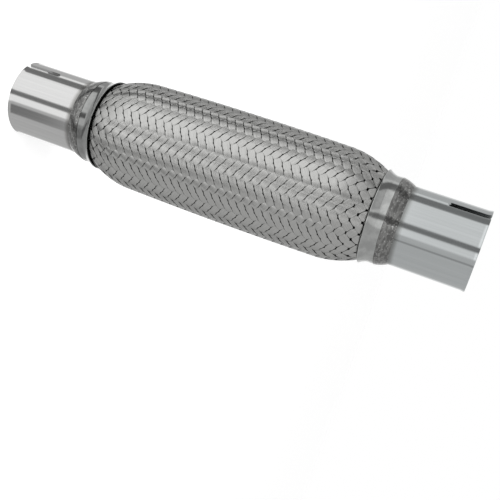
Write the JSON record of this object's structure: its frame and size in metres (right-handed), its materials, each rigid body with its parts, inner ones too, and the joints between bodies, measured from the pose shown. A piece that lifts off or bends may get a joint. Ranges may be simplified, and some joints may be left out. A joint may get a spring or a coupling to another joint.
{
  "type": "exhaust flex pipe",
  "caption": "Flexible exhaust connector: a wire-braided bellows with a smooth liner between two slotted tube ends, held by flared collars and weld beads.",
  "frame": {"origin": "centre of the lower mouth, on the pipe's axis, where the part stands on its end", "axes": "+Z along the pipe's axis towards the upper mouth; the slots lie in the vertical plane turned 34 degrees from +X"},
  "size_m": [0.0701, 0.0701, 0.305],
  "materials": {
    "tube_steel": "polished stainless tube with fine drawing lines",
    "collar_steel": "pressed bright stainless sheet",
    "weld": "mottled weld bead with a heat tint",
    "braid_wire": "satin drawn wire in flat bands",
    "inner_steel": "plain rolled strip"
  },
  "bodies": {
    "root": {"lower_pipe_end": "tube_steel", "upper_pipe_end": "tube_steel", "lower_end_cap": "collar_steel", "upper_end_cap": "collar_steel", "lower_weld_bead": "weld", "upper_weld_bead": "weld", "outer_braid": "braid_wire", "bellows": "inner_steel", "liner": "inner_steel"}
  },
  "joints": []
}
